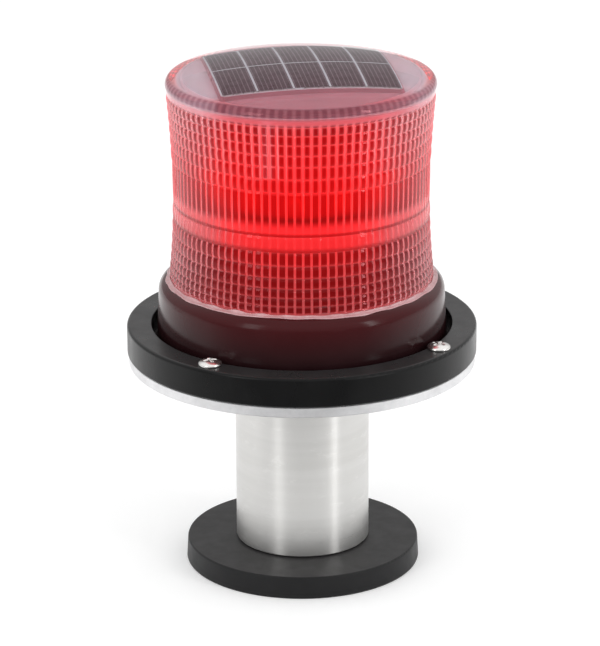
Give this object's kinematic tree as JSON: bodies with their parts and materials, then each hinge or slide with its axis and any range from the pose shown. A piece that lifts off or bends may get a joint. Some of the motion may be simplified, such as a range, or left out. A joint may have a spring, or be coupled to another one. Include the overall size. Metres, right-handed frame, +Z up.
{
  "type": "barricade warning light",
  "caption": "Solar warning light: domed prismatic lens with a panel on top, black flanged base, aluminium stem and a rubber-coated magnet foot.",
  "frame": {"origin": "centre of the magnet's face, on the surface that the light stands on", "axes": "+Z up along the stem; the solar panel's rows run along X (turned by 3 degrees); the switch window is towards +Y"},
  "size_m": [0.13, 0.13, 0.194],
  "materials": {
    "rubber_coating": "matt black rubber",
    "pole_steel": "zinc-plated steel",
    "magnet_nickel": "nickel-plated magnet",
    "stud_steel": "zinc-plated steel",
    "plug_aluminium": "turned",
    "stem_aluminium": "fine turned finish",
    "screw_steel": "zinc-plated steel",
    "plate_aluminium": "turned edge, milled face",
    "ring_black": "satin black moulding",
    "pan_screw_steel": "bright plated steel",
    "housing_black": "gloss black moulding",
    "cover_black": "fine texture",
    "seal_rubber": "smooth",
    "switch_shell": "tinned steel",
    "foam_pad": "foam",
    "holder_black": "moulded",
    "cell_wrap": "shrink wrap",
    "contact_nickel": "nickel plate",
    "lead_insulation": "soft PVC",
    "core_black": "moulded",
    "board_green": "solder mask",
    "chip_black": "moulded epoxy",
    "ferrite_grey": "ferrite",
    "can_aluminium": "drawn can",
    "socket_white": "moulded",
    "holder_red": "moulded",
    "lamp_red": "red epoxy, lit",
    "leg_tin": "tinned",
    "gasket_rubber": "smooth",
    "lens_clear": "clear moulded acrylic, prismatic",
    "sealant_clear": "clear sealant",
    "potting_resin": "milky resin",
    "panel_white": "white solder mask",
    "cell_silicon": "dark silicon with fine fingers",
    "strip_tin": "tinned ribbon",
    "knob_black": "ribbed"
  },
  "bodies": {
    "magnet_base": {"magnet_coating": "rubber_coating", "magnet_plate": "pole_steel", "magnet_segments": "magnet_nickel", "magnet_stud": "stud_steel"},
    "light": {"stem_foot_plug": "plug_aluminium", "stem_tube": "stem_aluminium", "stem_top_plug": "plug_aluminium", "stem_screw": "screw_steel", "mounting_plate": "plate_aluminium", "clamp_ring": "ring_black", "clamp_screws": "pan_screw_steel", "base_housing": "housing_black", "bottom_cover": "cover_black", "cover_seal": "seal_rubber", "cover_screws": "screw_steel", "switch_body": "switch_shell", "switch_screws": "screw_steel", "holder_pad": "foam_pad", "battery_holder": "holder_black", "battery_cells": "cell_wrap", "battery_contacts": "contact_nickel", "battery_leads": "lead_insulation", "pedestal": "core_black", "pedestal_screws": "screw_steel", "driver_board": "board_green", "board_screws": "screw_steel", "driver_chip": "chip_black", "driver_inductor": "ferrite_grey", "driver_capacitors": "can_aluminium", "lead_sockets": "socket_white", "lamp_board": "board_green", "lamp_holder": "holder_red", "lamps": "lamp_red", "lamp_legs": "leg_tin", "lamp_leads": "lead_insulation", "core_cap": "core_black", "core_screws": "screw_steel", "lens_gasket": "gasket_rubber", "lens": "lens_clear", "lens_sealant": "sealant_clear", "panel_potting": "potting_resin", "panel_board": "panel_white", "solar_cells": "cell_silicon", "panel_strips": "strip_tin", "panel_leads": "lead_insulation"},
    "switch": {"switch_slider": "knob_black"}
  },
  "joints": [
    {"name": "magnet_turn", "type": "hinge", "parent": "magnet_base", "child": "light", "pos_m": [0, 0, 0.0085], "axis": [0, 0, 1], "continuous": true},
    {"name": "switch_slide", "type": "slide", "parent": "light", "child": "switch", "axis": [1, 0, 0], "range_m": [0, 0.004]}
  ]
}
